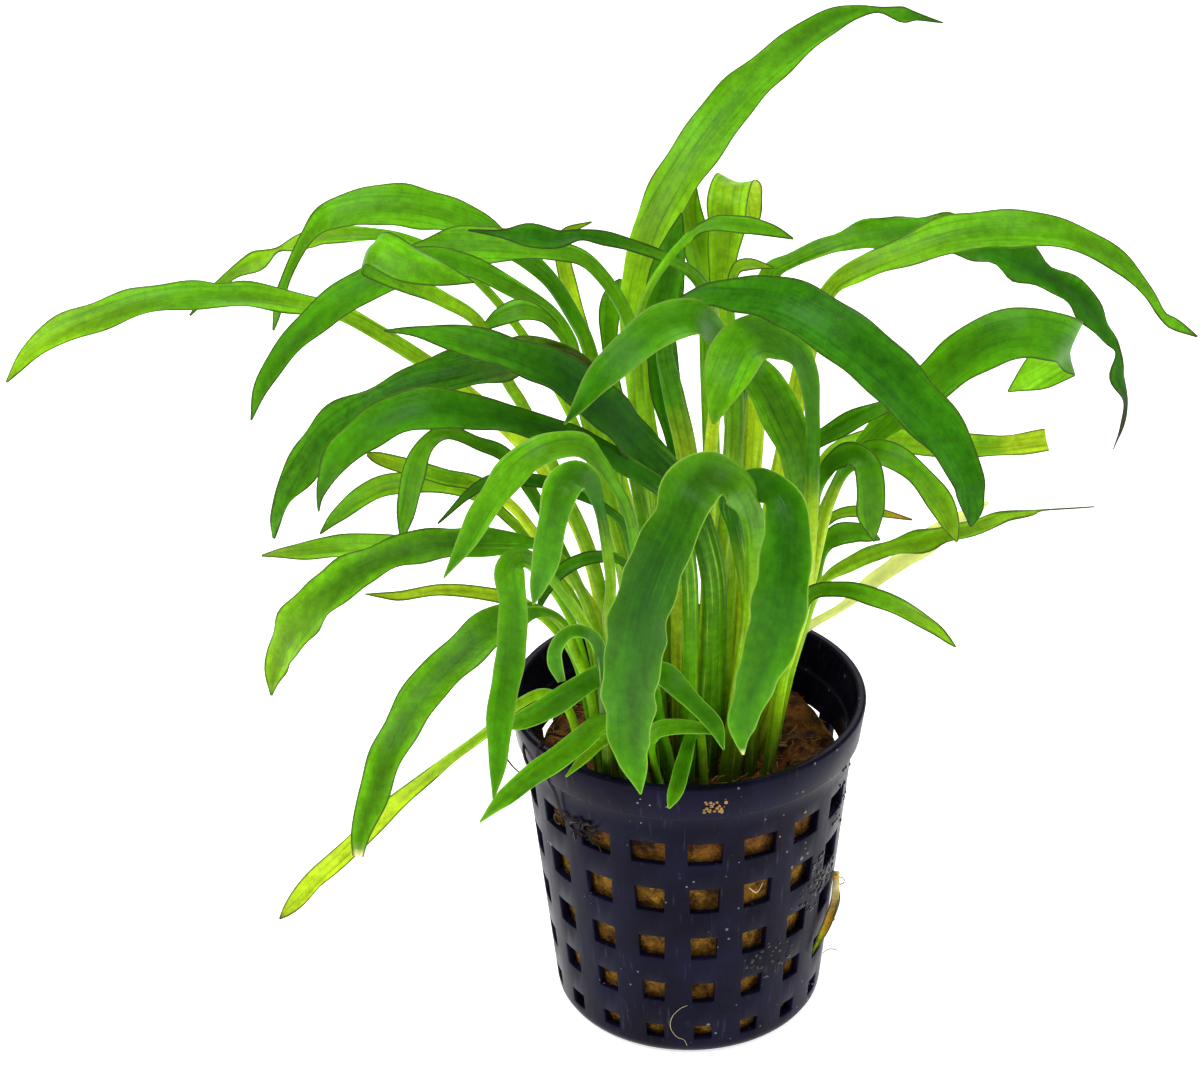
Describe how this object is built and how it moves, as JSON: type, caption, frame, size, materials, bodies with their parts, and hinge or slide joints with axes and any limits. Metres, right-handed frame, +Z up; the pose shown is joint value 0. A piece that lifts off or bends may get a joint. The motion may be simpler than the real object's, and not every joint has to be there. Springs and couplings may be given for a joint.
{
  "type": "potted cryptocoryne",
  "caption": "Aquarium plant of long narrow arching leaves, rooted in a plug of wool in a small tapered net pot that stands on its flat base.",
  "frame": {"origin": "middle of the pot's flat underside, on the surface that the pot stands on", "axes": "+Z up, out of the pot's mouth; -Y towards the front of the plant; +X to its right"},
  "size_m": [0.1726, 0.1007, 0.1482],
  "materials": {
    "black_plastic": "moulded black plastic, semi-gloss, with fine scratches and dust",
    "rooting_wool": "damp ochre-brown mineral wool with loose fibres",
    "green_leaf": "living leaf, mid green, satin, with parallel veins",
    "dark_leaf": "living leaf, dark green, satin, with parallel veins",
    "yellow_green_leaf": "living leaf, yellow-green, satin, with parallel veins",
    "brown_leaf": "ageing leaf, brownish dark green, satin",
    "pale_leaf": "yellowed leaf, pale, satin"
  },
  "bodies": {
    "root": {"back_leaf_arched": "green_leaf", "back_leaf_blade": "green_leaf", "back_leaf_curled": "green_leaf", "back_leaf_dark": "dark_leaf", "back_leaf_folded": "yellow_green_leaf", "back_leaf_low": "green_leaf", "back_leaf_rounded": "green_leaf", "back_leaf_tall": "green_leaf", "back_leaf_upright": "green_leaf", "front_leaf_arched": "green_leaf", "front_leaf_dark": "dark_leaf", "front_leaf_dark_arch": "dark_leaf", "front_leaf_high": "green_leaf", "front_leaf_high_left": "green_leaf", "front_leaf_high_right": "green_leaf", "front_leaf_large": "green_leaf", "front_leaf_left": "green_leaf", "front_leaf_loop": "yellow_green_leaf", "front_leaf_low_1": "green_leaf", "front_leaf_low_2": "green_leaf", "front_leaf_low_3": "green_leaf", "front_leaf_low_4": "green_leaf", "front_leaf_low_5": "green_leaf", "front_leaf_low_6": "green_leaf", "front_leaf_right": "green_leaf", "left_leaf_behind": "green_leaf", "left_leaf_bleached": "yellow_green_leaf", "left_leaf_bowed": "yellow_green_leaf", "left_leaf_broad": "green_leaf", "left_leaf_brown": "brown_leaf", "left_leaf_crossing": "green_leaf", "left_leaf_doubled": "yellow_green_leaf", "left_leaf_hooked": "green_leaf", "left_leaf_level": "green_leaf", "left_leaf_long_dark": "dark_leaf", "left_leaf_longest": "green_leaf", "left_leaf_lowest": "yellow_green_leaf", "left_leaf_slender": "yellow_green_leaf", "left_leaf_small_arch": "green_leaf", "left_leaf_straight": "green_leaf", "left_leaf_thin_low": "green_leaf", "left_leaf_twisted": "dark_leaf", "left_leaf_yellowed": "yellow_green_leaf", "pot": "black_plastic", "right_leaf_curled": "green_leaf", "right_leaf_cut": "yellow_green_leaf", "right_leaf_fine_tip": "green_leaf", "right_leaf_hanging_1": "green_leaf", "right_leaf_hanging_2": "green_leaf", "right_leaf_hidden": "dark_leaf", "right_leaf_high": "green_leaf", "right_leaf_large_dark": "dark_leaf", "right_leaf_lowest": "green_leaf", "right_leaf_orange": "yellow_green_leaf", "right_leaf_pale": "pale_leaf", "right_leaf_short": "green_leaf", "right_leaf_small": "green_leaf", "right_leaf_thread_tip": "green_leaf", "wool_plug": "rooting_wool"}
  },
  "joints": []
}
